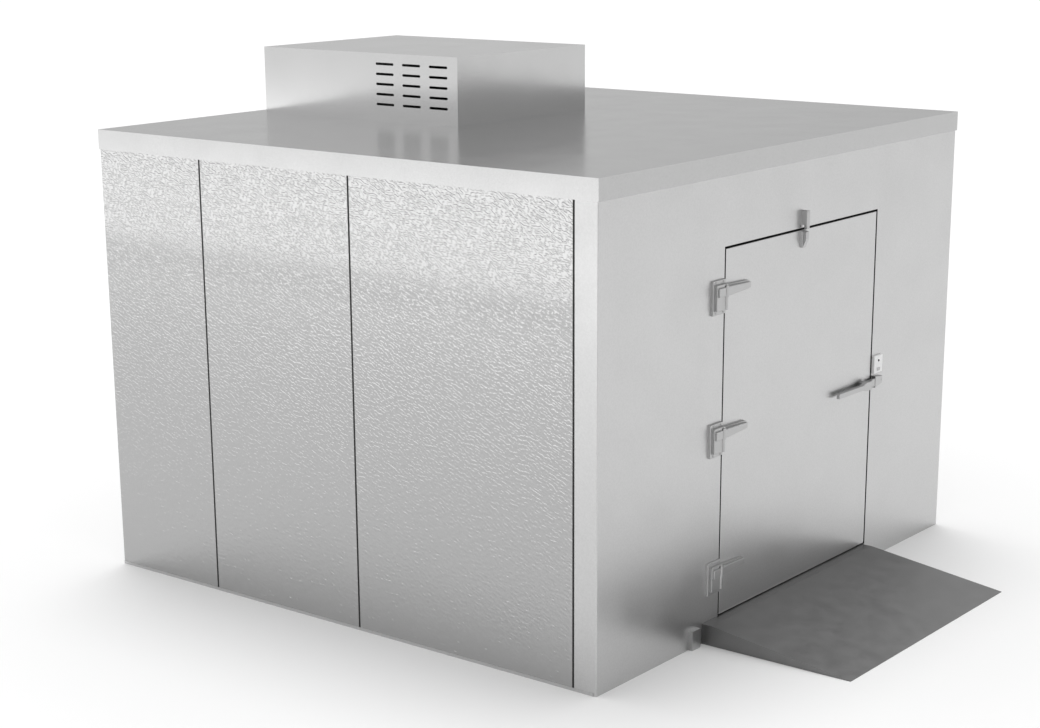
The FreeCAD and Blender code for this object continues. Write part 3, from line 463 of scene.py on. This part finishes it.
class COLDROOM_OT_screws(Operator):
    """Drives the fixing screws of the hinge plates, the strike and the foot bracket"""
    bl_idname = "coldroom.screws"
    bl_label = "Fixing screws"

    def drive(self, bm, spots, face):
        """Adds a screw head at each X and Z of spots on the face at that Y."""
        for x, z in spots:
            button(bm, (x, face - self.high / 2 + 0.3 * MM, z), self.across, self.high, True)

    def execute(self, context):
        sizes = context.scene.cold_room_sizes
        self.across, self.high = sizes.screw_across, sizes.screw_high
        bm = bmesh.new()
        for place in ("top", "middle", "bottom"):
            low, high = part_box(f"hinge_base_{place}")
            plate_face = high.y - PLATE_THICK
            spots = [(x, z) for x in (low.x + PLATE_SCREW_IN, high.x - PLATE_SCREW_IN)
                     for z in (low.z + PLATE_SCREW_DOWN, high.z - PLATE_SCREW_DOWN)]
            self.drive(bm, spots, plate_face)
        low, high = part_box("latch_strike")
        strike_face = high.y - STRIKE_SLOPE * (high.y - low.y)
        self.drive(bm, [(high.x - STRIKE_SCREW_IN, (low.z + high.z) / 2)], strike_face)
        low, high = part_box("foot_bracket")
        bracket_screw = low.z + BRACKET_SCREW_PLACE * (high.z - low.z)
        self.drive(bm, [((low.x + high.x) / 2, bracket_screw)], low.y)
        finish_piece("fixing_screws", bm, "room", "cast_fittings")
        return {"FINISHED"}


# Stage: floor, light and camera

CAMERA_AT = (-9.2133, -7.1152, 3.7451)
CAMERA_YAW = 51.715
CAMERA_PITCH = 15.237
CAMERA_ROLL = -0.338
CAMERA_LENS = 71.005
CAMERA_SHIFT_Y = 0.08269
# Strengths of the soft light: behind, left, right, on the camera's side and overhead
WORLD_LEVELS = (0.64, 1.0, 0.52, 0.25, 0.9)
KEY_STRENGTH = 1.1
KEY_ANGLE = 30.0
KEY_DIRECTION = (-0.16, -0.18, -0.97)
# The bank of light along the left wall: its middle, the point it faces, width, height and strength
BANK_LEFT = ((-8.6, 9.5, 0.85), (0.0, 9.5, 0.85), 21.0, 1.2, 0.92)
FLOOR_RADIUS = 120.0


def aim_camera():
    """A camera at the photograph's place, with its lens and its shift."""
    yaw, pitch, roll = (math.radians(a) for a in (CAMERA_YAW, CAMERA_PITCH, CAMERA_ROLL))
    ahead = Vector((math.sin(yaw) * math.cos(pitch), math.cos(yaw) * math.cos(pitch), -math.sin(pitch)))
    level = Vector((math.cos(yaw), -math.sin(yaw), 0.0))
    upward = level.cross(ahead)
    right = math.cos(roll) * level + math.sin(roll) * upward
    above = -math.sin(roll) * level + math.cos(roll) * upward
    data = bpy.data.cameras.new("photo_camera")
    data.lens = CAMERA_LENS
    data.sensor_width = 36.0
    data.shift_y = CAMERA_SHIFT_Y
    data.clip_end = 500.0
    camera = bpy.data.objects.new("photo_camera", data)
    turn = Matrix((right, above, -ahead)).transposed()
    camera.matrix_world = Matrix.Translation(CAMERA_AT) @ turn.to_4x4()
    bpy.context.scene.collection.objects.link(camera)
    bpy.context.scene.camera = camera


def light_bank(name, at, target, wide, high, strength):
    """A soft rectangular lamp that faces a target; at strength 1 it looks as bright as a white sheet."""
    data = bpy.data.lights.new(name, "AREA")
    data.shape = "RECTANGLE"
    data.size = wide
    data.size_y = high
    data.energy = strength * math.pi * wide * high
    lamp = bpy.data.objects.new(name, data)
    lamp.location = at
    lamp.rotation_euler = (Vector(target) - Vector(at)).to_track_quat("-Z", "Y").to_euler()
    bpy.context.scene.collection.objects.link(lamp)


def towards(tree, place, direction, near, far):
    """A socket that goes from 0 to 1 as a ray turns from near to far towards a direction."""
    turned = {0: place, 1: direction}
    side = add(tree, "ShaderNodeVectorMath", turned, operation="DOT_PRODUCT").outputs["Value"]
    inputs = {"Value": side, "From Min": near, "From Max": far}
    return add(tree, "ShaderNodeMapRange", inputs, interpolation_type="SMOOTHSTEP").outputs["Result"]


def soft_world(levels):
    """Soft light from all round: levels are its strengths behind, left, right, camera side and overhead."""
    behind, left, right, near, overhead = levels
    world = bpy.data.worlds.new("Studio light")
    bpy.context.scene.world = world
    world.use_nodes = True
    tree = world.node_tree
    tree.nodes.clear()
    place = add(tree, "ShaderNodeTexCoord").outputs["Generated"]
    level = behind
    for direction, strength in (((-0.78, 0.62, 0.0), left), ((0.78, -0.62, 0.0), right),
                                ((-0.78, -0.62, 0.0), near), ((0.0, 0.0, 1.0), overhead)):
        part = towards(tree, place, direction, 0.2, 0.8)
        inputs = {0: part, 2: level, 3: strength}
        level = add(tree, "ShaderNodeMix", inputs, data_type="FLOAT").outputs[0]
    light = add(tree, "ShaderNodeBackground", {"Color": (1.0, 1.0, 1.0, 1.0), "Strength": level})
    add(tree, "ShaderNodeOutputWorld", {"Surface": light.outputs[0]})


def lay_floor(pale):
    """A wide, plain, pale floor."""
    bm = bmesh.new()
    bmesh.ops.create_circle(bm, cap_ends=True, segments=64, radius=FLOOR_RADIUS)
    bmesh.ops.inset_region(bm, faces=bm.faces[:], thickness=FLOOR_RADIUS / 2)
    mesh = bpy.data.meshes.new("studio_floor")
    bm.to_mesh(mesh)
    bm.free()
    floor = bpy.data.objects.new("studio_floor", mesh)
    bpy.context.scene.collection.objects.link(floor)
    material, tree, shader = new_finish("Pale studio floor", pale, 0.95, 0.0)
    shader.inputs["Specular IOR Level"].default_value = 0.0
    mesh.materials.append(material)


class COLDROOM_OT_stage(Operator):
    """Sets the floor, the studio light and the photograph's camera"""
    bl_idname = "coldroom.stage"
    bl_label = "Stage"

    def execute(self, context):
        looks = context.scene.cold_room_looks
        lay_floor(looks.floor)
        soft_world(WORLD_LEVELS)
        sun = bpy.data.lights.new("key_behind", "SUN")
        sun.energy = KEY_STRENGTH
        sun.angle = math.radians(KEY_ANGLE)
        key = bpy.data.objects.new("key_behind", sun)
        key.rotation_euler = Vector(KEY_DIRECTION).to_track_quat("-Z", "Y").to_euler()
        context.scene.collection.objects.link(key)
        light_bank("bank_left", *BANK_LEFT)
        aim_camera()
        context.scene.view_settings.view_transform = "Standard"
        return {"FINISHED"}


# Add-on

OPERATORS = (COLDROOM_OT_finishes, COLDROOM_OT_joint_gaskets, COLDROOM_OT_gap_shade_liners,
             COLDROOM_OT_door_sweep, COLDROOM_OT_switch_details, COLDROOM_OT_screws, COLDROOM_OT_stage)


class COLDROOM_PT_panel(Panel):
    """The cold room's steps and its settings"""
    bl_idname = "COLDROOM_PT_panel"
    bl_label = "Cold room"
    bl_space_type = "VIEW_3D"
    bl_region_type = "UI"
    bl_category = "Cold room"

    def draw(self, context):
        column = self.layout.column(align=True)
        for operator in OPERATORS:
            column.operator(operator.bl_idname)
        for group in (context.scene.cold_room_sizes, context.scene.cold_room_looks):
            settings = self.layout.column(align=True)
            for name in group.bl_rna.properties.keys():
                if name not in ("rna_type", "name"):
                    settings.prop(group, name)


CLASSES = (ColdRoomSizes, ColdRoomLooks) + OPERATORS + (COLDROOM_PT_panel,)


def register():
    """Adds the classes and the two groups of settings."""
    for item in CLASSES:
        bpy.utils.register_class(item)
    bpy.types.Scene.cold_room_sizes = PointerProperty(type=ColdRoomSizes)
    bpy.types.Scene.cold_room_looks = PointerProperty(type=ColdRoomLooks)


def unregister():
    """Takes the settings and the classes away again."""
    del bpy.types.Scene.cold_room_looks
    del bpy.types.Scene.cold_room_sizes
    for item in reversed(CLASSES):
        bpy.utils.unregister_class(item)


def main():
    """Builds the whole scene."""
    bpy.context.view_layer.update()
    register()
    bpy.ops.coldroom.finishes()
    bpy.ops.coldroom.joint_gaskets()
    bpy.ops.coldroom.gap_liners()
    bpy.ops.coldroom.door_sweep()
    bpy.ops.coldroom.switch_details()
    bpy.ops.coldroom.screws()
    bpy.ops.coldroom.stage()


if __name__ == "__main__":
    main()
